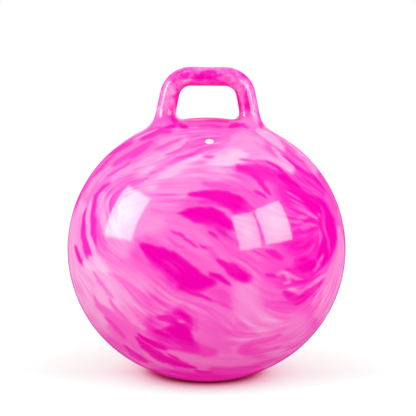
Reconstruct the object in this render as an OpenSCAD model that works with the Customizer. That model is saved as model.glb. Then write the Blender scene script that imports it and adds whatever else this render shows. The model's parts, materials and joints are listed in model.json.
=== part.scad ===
// Hopper ball: an inflated vinyl ball with a loop handle moulded in one with its skin,
// closed by a push-in air valve. All sizes are in millimetres, at the inflated size.
// The ball stands on z = 0, the handle's loop faces the front (-Y) and the valve is below it.

/* [Ball] */
// Width across the equator
ball_d = 457.2; // [380:0.1:540]
// How much lower the crown is than the top of a true sphere of that width
crown_drop = 13.2; // [6:0.1:24]
// Slope of the skin's normal where the side turns into the flatter crown, in degrees
crown_from = 76; // [66:1:82]
// Slope of the skin's normal where the side turns into the flatter base, in degrees
base_from = 58; // [45:1:75]
// Radius of the patch that rests flat on the floor
patch_r = 30; // [20:0.5:45]
// Thickness of the ball's skin
ball_wall = 0.9; // [0.6:0.05:2]

/* [Handle] */
// Height of the grip's centre line above the crown
grip_rise = 67; // [55:0.5:90]
// Straight length of the grip between its two bends
grip_straight = 52; // [30:0.5:90]
// Radius of the bends, on the centre line
bend_r = 35; // [25:0.5:45]
// Lean of each leg from the vertical, in degrees
leg_splay = 11.4; // [4:0.1:18]
// Thickness of the grip, seen from the front
grip_t = 30; // [22:0.5:36]
// Thickness of the grip, from front to back
grip_depth = 37; // [26:0.5:44]
// Thickness of a leg above its foot, seen from the front
leg_t = 32.6; // [24:0.1:40]
// Thickness of a leg above its foot, from front to back
leg_depth = 39.5; // [28:0.5:48]
// Thickness of the handle's skin, which stretches less than the ball's
handle_wall = 2; // [1:0.1:4]

/* [Handle feet] */
// Height along the leg over which a foot flares out
foot_h = 18; // [14:0.5:26]
// Spread of a foot away from the other one
foot_out = 28; // [18:0.5:36]
// Spread of a foot towards the other one
foot_in = 14; // [8:0.5:20]
// Spread of a foot to the front and to the back
foot_side = 20; // [12:0.5:28]

/* [Valve seat] */
// Slope of the valve's axis above the horizontal, in degrees
valve_slope = 60; // [45:1:68]
// Diameter of the thick boss inside the skin
boss_d = 24; // [20:0.5:34]
// Depth of that boss below the skin's surface
boss_depth = 9; // [6:0.5:14]
// Diameter of the seat's flange
flange_d = 13.4; // [12:0.1:18]
// Thickness of the flange
flange_t = 1.8; // [1.4:0.1:2.6]
// Bevel round the flange's face
flange_edge = 0.5; // [0.2:0.1:0.8]
// Diameter of the seat's sleeve
sleeve_d = 10; // [9.4:0.1:11]
// Length of the seat, from its face to its inner end
seat_len = 14; // [11:0.5:20]
// Diameter of the seat's bore under the plug's head
bore_mouth_d = 7; // [6.4:0.1:7.8]
// Diameter of the seat's bore at its inner end
bore_end_d = 5.8; // [5:0.1:6.3]

/* [Valve plug] */
// Diameter of the plug's head
head_d = 9.2; // [8.4:0.1:10]
// Thickness of the plug's head
head_t = 1.3; // [1.1:0.1:1.8]
// Width of the hollow in the head's face
dish_d = 6.4; // [4:0.1:7.2]
// Depth of the hollow in the head's face
dish_depth = 0.6; // [0.2:0.1:0.9]
// Bevel round the head's face
head_edge = 0.3; // [0.1:0.05:0.5]
// Length of the plug's nose past the seat's inner end
nose_len = 3; // [1:0.5:8]
// Width of the nose's tip
nose_d = 2.8; // [1.5:0.1:4]
// Depth of the grooves between the stem's sealing rings
groove_depth = 0.5; // [0.2:0.05:0.8]
// Number of sealing rings
ring_count = 3; // [2:1:4]
// Width of a sealing ring
ring_w = 1.6; // [1:0.1:2]

/* [Fits] */
// Glue line between the seat and the skin
bond_gap = 0.03; // [0.02:0.01:0.1]
// Clearance between the plug and the seat
plug_gap = 0.05; // [0.03:0.01:0.1]
// Height of the valve's flange above the skin
flange_proud = 0.4; // [0.2:0.1:0.8]
// Height of the plug's head above the flange
head_proud = 0.2; // [0:0.1:0.5]

/* [Hidden] */
$fn = 128;

// The ball's outline is one arc round the side, and a flatter arc over the crown and under the base.
// Each flatter arc runs into the side arc where both have the same normal.
ball_r = ball_d / 2;
crown_step = crown_drop / (cos(crown_from) + sin(crown_from) - 1);
side_x = crown_step * cos(crown_from);
side_r = ball_r - side_x;
crown_r = side_r + crown_step;
crown_centre = -crown_step * sin(crown_from);
base_step = side_x / cos(base_from);
base_r = side_r + base_step;
base_centre = base_step * sin(base_from);
// The flatter arcs lie this much below the side arc where they meet it, so that they cross cleanly
arc_lap = 0.002;

patch_depth = base_r - sqrt(base_r * base_r - patch_r * patch_r);
equator_z = base_r - base_centre - patch_depth;
crown_z = equator_z + ball_r - crown_drop;

// Height of the ball's upper surface at a distance r from its axis, set in by inset
function surface_z(r, inset) = equator_z + (r < (crown_r - inset) * cos(crown_from)
    ? crown_centre + sqrt(pow(crown_r - inset, 2) - r * r)
    : sqrt(pow(side_r - inset, 2) - pow(r - side_x, 2)));

// The handle's centre line on the right-hand side, from the middle of the grip to the top of the foot
grip_z = crown_z + grip_rise;
bend_turn = 90 - leg_splay;
bend_x = grip_straight / 2;
bend_z = grip_z - bend_r;
leg_way = [sin(leg_splay), 0, -cos(leg_splay)];
leg_out = [cos(leg_splay), 0, sin(leg_splay)];
leg_top = [bend_x, 0, bend_z] + bend_r * leg_out;
front_to_back = [0, 1, 0];
leg_len = fall(leg_top, 0) - foot_h;
foot_top = leg_top + leg_len * leg_way;

// How far a point falls along the leg's direction before it meets the ball's surface
function fall(p, inset, t = 0, tries = 10) = tries == 0 ? t
    : let (q = p + t * leg_way)
      fall(p, inset, t + (q.z - surface_z(norm([q.x, q.y]), inset)) / cos(leg_splay), tries - 1);

// A foot's curves end this far below the skin, so that they cross it cleanly
foot_sink = 2.5;
// Share of the way to the sharp corner at which a foot's curve has its handles
foot_fullness = 0.6;
sides = 32;
bend_steps = 9;
foot_steps = 8;
function angle_of(i) = i * 360 / sides;

// One ring of the handle's skin: half_t across the loop, half_d from front to back
function section(centre, out, half_t, half_d) = [for (i = [0:sides - 1])
    centre + half_t * cos(angle_of(i)) * out + half_d * sin(angle_of(i)) * front_to_back];

// The handle thickens evenly from the middle of the grip to the foot
way_len = bend_x + bend_r * bend_turn * PI / 180 + leg_len;
function half_t(way, inset) = grip_t / 2 + (leg_t - grip_t) / 2 * way / way_len - inset;
function half_d(way, inset) = grip_depth / 2 + (leg_depth - grip_depth) / 2 * way / way_len - inset;

function bend_ring(turn, inset) =
    let (out = [sin(turn), 0, cos(turn)], way = bend_x + bend_r * turn * PI / 180)
    section([bend_x, 0, bend_z] + bend_r * out, out, half_t(way, inset), half_d(way, inset));

// A foot flares from the leg's last ring to a ring on the ball, on curves that leave the leg
// straight and land along the ball
function foot_spread(i) = let (c = cos(angle_of(i)), s = sin(angle_of(i)))
    (c > 0 ? foot_out : foot_in) * c * c + foot_side * s * s;
function foot_ring(share, inset, ball_inset) =
    let (start = section(foot_top, leg_out, half_t(way_len, inset), half_d(way_len, inset)))
    [for (i = [0:sides - 1]) let (
        p = start[i],
        corner = p + fall(p, ball_inset) * leg_way,
        wide = p + foot_spread(i) * (p - foot_top) / norm(p - foot_top),
        landing = wide + (fall(wide, ball_inset) + foot_sink) * leg_way,
        near_p = p + foot_fullness * (corner - p),
        near_landing = landing + foot_fullness * (corner - landing),
        back = 1 - share)
        back * back * back * p + 3 * back * back * share * near_p
        + 3 * back * share * share * near_landing + share * share * share * landing];

// The whole loop as one tube, from the left foot to the right foot
module handle_loop(inset, ball_inset) {
    right = concat(
        [for (k = [0:bend_steps]) bend_ring(bend_turn * k / bend_steps, inset)],
        [for (k = [0:foot_steps]) foot_ring(k / foot_steps, inset, ball_inset)]);
    last = len(right) - 1;
    left = [for (k = [0:last]) let (r = right[last - k]) [for (p = r) [-p.x, p.y, p.z]]];
    rings = concat(left, right);
    count = len(rings);
    middle = function (ring) [for (a = [0:2]) sum([for (p = ring) p[a]]) / sides];
    points = concat([for (r = rings) each r], [middle(rings[0]), middle(rings[count - 1])]);
    start_cap = count * sides;
    faces = concat(
        [for (k = [0:count - 2], i = [0:sides - 1])
            let (j = (i + 1) % sides, a = k * sides, b = a + sides)
            each [[a + i, b + j, b + i], [a + i, a + j, b + j]]],
        [for (i = [0:sides - 1]) [start_cap, (i + 1) % sides, i]],
        [for (i = [0:sides - 1])
            let (a = (count - 1) * sides) [start_cap + 1, a + i, a + (i + 1) % sides]]);
    polyhedron(points, faces);
}
function sum(values, i = 0) = i == len(values) ? 0 : values[i] + sum(values, i + 1);

// The ball as a solid, set in by inset and flat where it rests on the floor
reach = 2 * ball_d;
module cap_slice(slope) {
    polygon([[0, 0], reach * [cos(slope), sin(slope)], [0, reach]]);
}
module ball(inset) {
    rotate_extrude() intersection() {
        translate([0, inset]) square([reach, reach]);
        translate([0, equator_z]) union() {
            translate([side_x, 0]) circle(side_r - inset);
            translate([0, crown_centre]) intersection() {
                circle(crown_r - arc_lap - inset);
                cap_slice(crown_from);
            }
            translate([0, base_centre]) mirror([0, 1]) intersection() {
                circle(base_r - arc_lap - inset);
                cap_slice(base_from);
            }
        }
    }
}

// Moves the valve's pieces to their place, with their face outwards along +Z
valve_r = side_x + side_r * cos(valve_slope);
valve_z = equator_z + side_r * sin(valve_slope);
module at_valve() {
    translate([0, -valve_r, valve_z]) rotate([90 - valve_slope, 0, 0]) children();
}

// Skin of the ball, open under the handle's feet, with a boss inside that holds the valve
module ball_skin() {
    color("hotpink") difference() {
        ball(0);
        difference() {
            ball(ball_wall);
            at_valve() translate([0, 0, -boss_depth]) cylinder(d = boss_d, h = 2 * boss_depth);
        }
        handle_loop(handle_wall, ball_wall);
        at_valve() translate([0, 0, flange_proud - flange_t - bond_gap])
            cylinder(d = flange_d + 2 * bond_gap, h = 2 * flange_t);
        at_valve() translate([0, 0, -2 * boss_depth])
            cylinder(d = sleeve_d + 2 * bond_gap, h = 2 * boss_depth);
    }
}

// Skin of the handle, which is hollow and grows out of the ball's skin in the same moulding
module handle() {
    color("hotpink") difference() {
        handle_loop(0, 0);
        handle_loop(handle_wall, ball_wall);
        ball(0);
    }
}

// The seat's bore narrows from the head's recess to the seat's inner end
seat_end_z = flange_proud - seat_len;
head_z = flange_proud + head_proud - head_t;
recess_z = head_z - plug_gap;
bore_len = recess_z - seat_end_z;
function bore_r(z) = bore_end_d / 2 + (bore_mouth_d - bore_end_d) / 2 * (z - seat_end_z) / bore_len;

// Seat of the valve: a flanged sleeve with a tapered bore, glued into the boss
module valve_seat() {
    color("white") at_valve() difference() {
        union() {
            translate([0, 0, flange_proud - flange_t]) cylinder(d = flange_d, h = flange_t - flange_edge);
            translate([0, 0, flange_proud - flange_edge])
                cylinder(d1 = flange_d, d2 = flange_d - 2 * flange_edge, h = flange_edge);
            translate([0, 0, seat_end_z]) cylinder(d = sleeve_d, h = seat_len - flange_t / 2);
        }
        translate([0, 0, recess_z]) cylinder(d = head_d + 2 * plug_gap, h = 2 * head_t);
        translate([0, 0, seat_end_z - bore_len]) cylinder(r1 = bore_r(seat_end_z - bore_len),
            r2 = bore_r(recess_z + bore_len), h = 3 * bore_len);
    }
}

// A length of the plug's stem that follows the bore's taper, this far inside it
module stem_length(from_z, to_z, inside) {
    translate([0, 0, from_z])
        cylinder(r1 = bore_r(from_z) - inside, r2 = bore_r(to_z) - inside, h = to_z - from_z);
}

// Plug of the valve: a dished head on a tapered stem with sealing rings
core_gap = plug_gap + groove_depth;
module valve_plug() {
    color("white") at_valve() difference() {
        union() {
            translate([0, 0, head_z]) cylinder(d = head_d, h = head_t - head_edge);
            translate([0, 0, head_z + head_t - head_edge])
                cylinder(d1 = head_d, d2 = head_d - 2 * head_edge, h = head_edge);
            stem_length(seat_end_z, head_z + head_t / 2, core_gap);
            for (k = [0:ring_count - 1]) let (z = recess_z - bore_len * (k + 0.5) / ring_count)
                stem_length(z - ring_w / 2, z + ring_w / 2, plug_gap);
            translate([0, 0, seat_end_z - nose_len])
                cylinder(d1 = nose_d, d2 = bore_end_d - 2 * core_gap, h = nose_len);
        }
        translate([0, 0, head_z + head_t - dish_depth]) cylinder(d1 = dish_d - 2 * dish_depth,
            d2 = dish_d + 2 * dish_depth, h = 2 * dish_depth);
    }
}

ball_skin();
handle();
valve_seat();
valve_plug();
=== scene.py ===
import json
import math
import bpy
import bmesh
import numpy as np
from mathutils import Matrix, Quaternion, Vector


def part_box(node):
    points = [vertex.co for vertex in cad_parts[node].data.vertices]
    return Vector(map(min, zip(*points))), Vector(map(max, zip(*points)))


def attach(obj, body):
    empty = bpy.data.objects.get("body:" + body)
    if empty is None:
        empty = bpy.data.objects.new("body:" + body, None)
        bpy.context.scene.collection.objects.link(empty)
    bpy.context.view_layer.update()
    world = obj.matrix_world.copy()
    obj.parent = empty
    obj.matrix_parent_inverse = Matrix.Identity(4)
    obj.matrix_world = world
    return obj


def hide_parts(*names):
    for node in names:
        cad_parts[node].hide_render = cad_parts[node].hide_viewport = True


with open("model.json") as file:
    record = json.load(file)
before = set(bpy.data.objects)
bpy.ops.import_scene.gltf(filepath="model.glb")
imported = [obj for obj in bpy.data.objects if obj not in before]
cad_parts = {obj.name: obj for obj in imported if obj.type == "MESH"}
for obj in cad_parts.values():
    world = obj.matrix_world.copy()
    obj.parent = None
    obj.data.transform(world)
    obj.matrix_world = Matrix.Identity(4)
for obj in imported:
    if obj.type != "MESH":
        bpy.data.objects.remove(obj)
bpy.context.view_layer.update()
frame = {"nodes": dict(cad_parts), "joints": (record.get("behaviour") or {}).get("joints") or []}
scene = bpy.context.scene
scene.view_settings.view_transform = "Standard"
print("frame loaded")


# The mould's own sizes, in metres and degrees. Width, crown height and handle top come from the frame.
mould = dict(
    crownDrop=0.0132,      # how much the crown is lower than a round ball's
    crownFrom=76,          # slope where the flatter crown starts
    baseFrom=58,           # slope where the flatter base starts
    patchRound=0.006,      # rounding at the edge of the flat patch that the ball rests on
    gripStraight=0.0555,
    bendRadius=0.035,
    legSplay=11.4,
    gripThick=0.030,
    gripDeep=0.037,
    legThick=0.0326,
    legDeep=0.0395,
    legSink=0.04,          # how far a leg runs on inside the ball
    legRounds=20,          # rounds that find where a leg meets the ball
    footOut=0.0195,        # reach of the fillet on the outside of a leg
    footIn=0.019,          # and inside the loop
    footSide=0.027,        # and at its front and back
    cell=0.0027,           # size of the mesh's faces
    settleRounds=3,        # rounds that put its vertices on the surface
    relaxRounds=6,         # rounds that even them out, and how far each goes
    relaxShare=0.5,
)
tiny = 1e-6

skinLow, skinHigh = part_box("ball_skin")
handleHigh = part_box("handle")[1]
ballRadius = (skinHigh.x - skinLow.x) / 2


def wave(degrees):
    a = math.radians(degrees)
    return math.cos(a), math.sin(a)


def addObject(name, data):
    new = bpy.data.objects.new(name, data)
    scene.collection.objects.link(new)
    return new


def meshFrom(bm, name):
    mesh = bpy.data.meshes.new(name)
    bm.to_mesh(mesh)
    bm.free()
    return mesh


# One arc round the side and a flatter one over the crown and under the base, each tangent to the side
crownCos, crownSin = wave(mould["crownFrom"])
baseCos, baseSin = wave(mould["baseFrom"])
crownStep = mould["crownDrop"] / (crownCos + crownSin - 1)
sideX = crownStep * crownCos
sideR = ballRadius - sideX
crownR = sideR + crownStep
crownCentre = -crownStep * crownSin
baseStep = sideX / baseCos
baseR = sideR + baseStep
baseCentre = baseStep * baseSin
equatorZ = skinHigh.z - ballRadius + mould["crownDrop"]
middle = np.array([0, 0, equatorZ])

gripZ = handleHigh.z - mould["gripThick"] / 2
bendX = mould["gripStraight"] / 2
bendR = mould["bendRadius"]
bendZ = gripZ - bendR
splayCos, splaySin = wave(mould["legSplay"])
bendTurn = math.radians(90 - mould["legSplay"])
legTop = np.array([bendX + bendR * splayCos, bendZ + bendR * splaySin])
bendEnd = bendX + bendR * bendTurn


def ballDistance(p):
    r = np.hypot(p[:, 0], p[:, 1])
    z = p[:, 2] - equatorZ
    slope = np.degrees(np.arctan2(z, r - sideX))
    side = np.hypot(r - sideX, z) - sideR
    crown = np.hypot(r, z - crownCentre) - crownR
    base = np.hypot(r, z - baseCentre) - baseR
    return np.where(slope > mould["crownFrom"], crown, np.where(slope < -mould["baseFrom"], base, side))


# Where a leg's centre line meets the ball
legLength = 0.0
for k in range(mould["legRounds"]):
    onLeg = np.array([[legTop[0] + legLength * splaySin, 0, legTop[1] - legLength * splayCos]])
    legLength += ballDistance(onLeg)[0]
wayLength = bendEnd + legLength


def handlePlace(p):
    # way along the loop from the middle of the grip, and the place across it: outwards, and to the back
    x, z = np.abs(p[:, 0]), p[:, 2]
    turn = np.arctan2(x - bendX, z - bendZ)
    legX, legZ = x - legTop[0], z - legTop[1]
    onGrip = x < bendX
    onBend = ~onGrip & (turn < bendTurn)
    way = np.where(onGrip, x, np.where(onBend, bendX + bendR * turn,
                                       bendEnd + legX * splaySin - legZ * splayCos))
    out = np.where(onGrip, z - gripZ, np.where(onBend, np.hypot(x - bendX, z - bendZ) - bendR,
                                               legX * splayCos + legZ * splaySin))
    return way, out, p[:, 1]


def handleDistance(p):
    way, out, back = handlePlace(p)
    share = np.clip(way / wayLength, 0, 1)
    halfThick = (mould["gripThick"] + (mould["legThick"] - mould["gripThick"]) * share) / 2
    halfDeep = (mould["gripDeep"] + (mould["legDeep"] - mould["gripDeep"]) * share) / 2
    a, b = out / halfThick, back / halfDeep
    ring = np.maximum(np.hypot(a, b), tiny)
    slope = np.maximum(np.hypot(a / halfThick, b / halfDeep), tiny)
    past = np.maximum(way - wayLength - mould["legSink"], 0)  # the loop ends inside the ball
    outward = a / ring
    foot = np.where(outward > 0, mould["footOut"], mould["footIn"]) * outward ** 2
    foot += mould["footSide"] * (1 - outward ** 2)
    return (ring - 1) * ring / slope + past, foot


def fillet(a, b, reach):
    near = np.maximum(reach - np.abs(a - b), 0) / reach
    return near ** 2 * reach / 4


def skinDistance(p):
    ball = ballDistance(p)
    handle, foot = handleDistance(p)
    skin = np.minimum(ball, handle) - fillet(ball, handle, foot)
    floor = -p[:, 2]
    return np.maximum(skin, floor) + fillet(skin, floor, mould["patchRound"])


def skinNormal(p):
    step = 0.0002
    ways = np.eye(3) * step
    n = np.stack([skinDistance(p + w) - skinDistance(p - w) for w in ways], 1)
    return n / np.linalg.norm(n, axis=1, keepdims=True)


def surfaceNet(low, high, cell):
    # one vertex in every cell that the surface passes through, and a face across every edge that it cuts
    counts = np.ceil((high - low) / cell).astype(int) + 1
    axes = [low[i] + cell * np.arange(counts[i]) for i in range(3)]
    gy, gz = np.meshgrid(axes[1], axes[2], indexing="ij")
    slabs = [skinDistance(np.c_[np.full(gy.size, x), gy.ravel(), gz.ravel()]) for x in axes[0]]
    field = np.stack([s.reshape(gy.shape) for s in slabs])
    inside = field < 0
    corners = [(i, j, k) for i in (0, 1) for j in (0, 1) for k in (0, 1)]
    unit = np.eye(3, dtype=int)
    n = counts - 1
    full = sum(inside[i:i + n[0], j:j + n[1], k:k + n[2]].astype(np.int8) for i, j, k in corners)
    cells = np.argwhere((full > 0) & (full < len(corners)))
    ids = np.full(n, -1)
    ids[tuple(cells.T)] = np.arange(len(cells))
    total, hits = np.zeros((len(cells), 3)), np.zeros(len(cells))
    for a in corners:
        for axis in range(3):
            if a[axis]:
                continue
            b = np.array(a) + unit[axis]
            da, db = field[tuple((cells + a).T)], field[tuple((cells + b).T)]
            cut = (da < 0) != (db < 0)
            t = np.where(cut, da / np.where(cut, da - db, 1), 0)
            total += np.where(cut[:, None], np.array(a) + t[:, None] * unit[axis], 0)
            hits += cut
    points = low + cell * (cells + total / hits[:, None])
    faces = []
    for axis in range(3):
        along, stepB, stepC = unit[axis], unit[(axis + 1) % 3], unit[(axis + 2) % 3]
        start = tuple(slice(0, counts[i] - along[i]) for i in range(3))
        end = tuple(slice(along[i], counts[i]) for i in range(3))
        edges = np.argwhere(inside[start] != inside[end])
        ring = [ids[tuple((edges - d).T)] for d in (stepB + stepC, stepC, 0 * along, stepB)]
        quad = np.stack(ring, 1)
        out = inside[start][tuple(edges.T)]
        faces.append(np.where(out[:, None], quad, quad[:, ::-1]))
    return points, np.concatenate(faces)


def settle(p, faces):
    # evens out the mesh along the surface, and keeps every vertex on it
    for k in range(mould["settleRounds"]):
        p = p - skinDistance(p)[:, None] * skinNormal(p)
    starts = np.concatenate([faces[:, i] for i in range(4)])
    ends = np.concatenate([faces[:, (i + 1) % 4] for i in range(4)])
    a, b = np.concatenate([starts, ends]), np.concatenate([ends, starts])
    count = np.bincount(a, minlength=len(p))
    for k in range(mould["relaxRounds"]):
        mean = np.stack([np.bincount(a, p[b, i], len(p)) / count for i in range(3)], 1)
        n = skinNormal(p)
        move = mould["relaxShare"] * (mean - p)
        p = p + move - (move * n).sum(1, keepdims=True) * n
        p = p - skinDistance(p)[:, None] * n
    return p - skinDistance(p)[:, None] * skinNormal(p)


# The pocket that the valve's sleeve fills, on the axis of the joint that pulls the plug
valve = dict(pocketRadius=0.0062, pocketDepth=0.020, pocketAbove=0.004, pocketSides=64)
valveAxis = Vector(frame["joints"][0]["axis"]).normalized()
valveFace = Vector((0, -(sideX - sideR * valveAxis.y), equatorZ + sideR * valveAxis.z))


def cutPocket(skin):
    bm = bmesh.new()
    bmesh.ops.create_cone(bm, cap_ends=True, segments=valve["pocketSides"],
                          radius1=valve["pocketRadius"], radius2=valve["pocketRadius"],
                          depth=valve["pocketDepth"] + valve["pocketAbove"])
    bm.transform(valveAxis.to_track_quat("Z", "Y").to_matrix().to_4x4())
    shift = (valve["pocketAbove"] - valve["pocketDepth"]) / 2
    bmesh.ops.translate(bm, verts=bm.verts, vec=valveFace + valveAxis * shift)
    cutter = addObject("pocket", meshFrom(bm, "pocket"))
    cut = skin.modifiers.new("pocket", "BOOLEAN")
    cut.operation = "DIFFERENCE"
    cut.solver = "EXACT"
    cut.object = cutter
    depsgraph = bpy.context.evaluated_depsgraph_get()
    done = bpy.data.meshes.new_from_object(skin.evaluated_get(depsgraph))
    skin.modifiers.remove(cut)
    skin.data = done
    bpy.data.objects.remove(cutter)


def makeSkin():
    pad = 2 * mould["cell"]
    low = np.array([-ballRadius, -ballRadius, 0]) - pad
    high = np.array([ballRadius, ballRadius, handleHigh.z]) + pad
    points, faces = surfaceNet(low, high, mould["cell"])
    points = settle(points, faces)
    mesh = bpy.data.meshes.new("hopper_skin")
    mesh.from_pydata(points.tolist(), [], faces.tolist())
    skin = addObject("hopper_skin", mesh)
    cutPocket(skin)
    mesh = skin.data
    mesh.polygons.foreach_set("use_smooth", np.ones(len(mesh.polygons), bool))
    print("skin mesh:", len(mesh.vertices), "vertices", len(mesh.polygons), "faces")
    return skin


skin = makeSkin()
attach(skin, "ball")
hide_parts("ball_skin", "handle")


# The camera, in metres and degrees; ballAt is where the ball's middle lies in the square frame, in pixels
shot = dict(distance=2.45, lens=128.4, azimuth=-1.5, elevation=8.0, roll=0.5, frame=416,
            ballAt=(206.5, 248.3))
azCos, azSin = wave(shot["azimuth"])
elCos, elSin = wave(shot["elevation"])
rollCos, rollSin = wave(shot["roll"])
seenBack = np.array([azSin * elCos, -azCos * elCos, elSin])
levelRight = np.array([azCos, azSin, 0])
levelUp = np.cross(seenBack, levelRight)
seenRight = levelRight * rollCos + levelUp * rollSin
seenUp = levelUp * rollCos - levelRight * rollSin
eye = middle + shot["distance"] * seenBack


def makeCamera():
    data = bpy.data.cameras.new("camera")
    data.lens = shot["lens"]
    camera = addObject("camera", data)
    perPixel = shot["distance"] * data.sensor_width / data.lens / shot["frame"]
    half = shot["frame"] / 2
    aim = middle + seenRight * (half - shot["ballAt"][0]) * perPixel
    aim = aim + seenUp * (shot["ballAt"][1] - half) * perPixel
    camera.location = eye
    turn = Vector(aim - eye).to_track_quat("-Z", "Y") @ Quaternion((0, 0, 1), math.radians(shot["roll"]))
    camera.rotation_euler = turn.to_euler()
    scene.camera = camera


makeCamera()
print("camera set")


# Marbling, with some painted shade and highlights among its streaks. The dye is painted on flat charts in
# millimetres, and each vertex takes its tone from them: 0 is the palest pink and 1 the hottest.
marble = dict(
    reach=400,             # half the width of a chart
    cells=600,
    base=0.5,              # tone where no streak runs
    readAt=(0, -2),        # where streaks are measured from, as seen, from the ball's middle
    seed=5,
    seedSteps=dict(sway=10, eddy=20, patch=30, handle=40),
    grainSizes=(3, 8, 20),  # fine threads, streaks and clouds
    grainRuns=(9, 13, 18),  # how far each is drawn out along the flow, in steps
    runStep=3.0,
    grainTones=(0.022, 0.022, 0.035),
    lastRun=3,             # what is painted is drawn out a little too
    lastStep=1.5,
    pathSteps=6,           # steps between two points of a streak
    streakGrain=0.03,      # grain inside a streak
    combing=0.36,          # how much the grain frays a streak's edges
    combWidth=4,           # a streak with a larger half width frays no wider than this one
    edgeIn=0.7,            # how far in and out an edge of softness 1 fades, in half widths
    edgeOut=1.1,
    leastHalf=0.6,         # added to each half width
    nearSoft=1.8,          # how far out an edge is worked out, in half widths times softness
    nearMargin=8,
    flowCells=90,
    flowReach=24,          # how far a streak turns the flow, and what it still does further away
    farReach=96,
    farShare=0.01,
    roundShare=0.002,      # flow round the middle
    eddySize=40,
    eddyTurn=0.5,
    sways=((34, 4), (9, 4)),    # size of a streak's bends, and how far they go
    patchSize=55,          # threads and frayed edges come and go in patches of this size
    patchFrom=(0.35, 0.75),
    patchThreads=(0.3, 1.4),    # threads between the patches, and what a patch adds
    patchGrain=(0.5, 1.0),
    wildFrom=(270, 340),   # past what is seen from the front, the dye runs free
    wildTone=0.2,
    backTurn=140,          # the back's dye is the front's, mirrored and turned
    backFrom=(0.15, 0.45),
    handleFrom=(0.008, 0.026),  # height over the ball, in metres, where the handle's chart fades in
    handleGrain=1.8,       # how much stronger the handle's grain is than the ball's
)
mm = 1000  # millimetres in a metre
ballMm = ballRadius * mm

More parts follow.
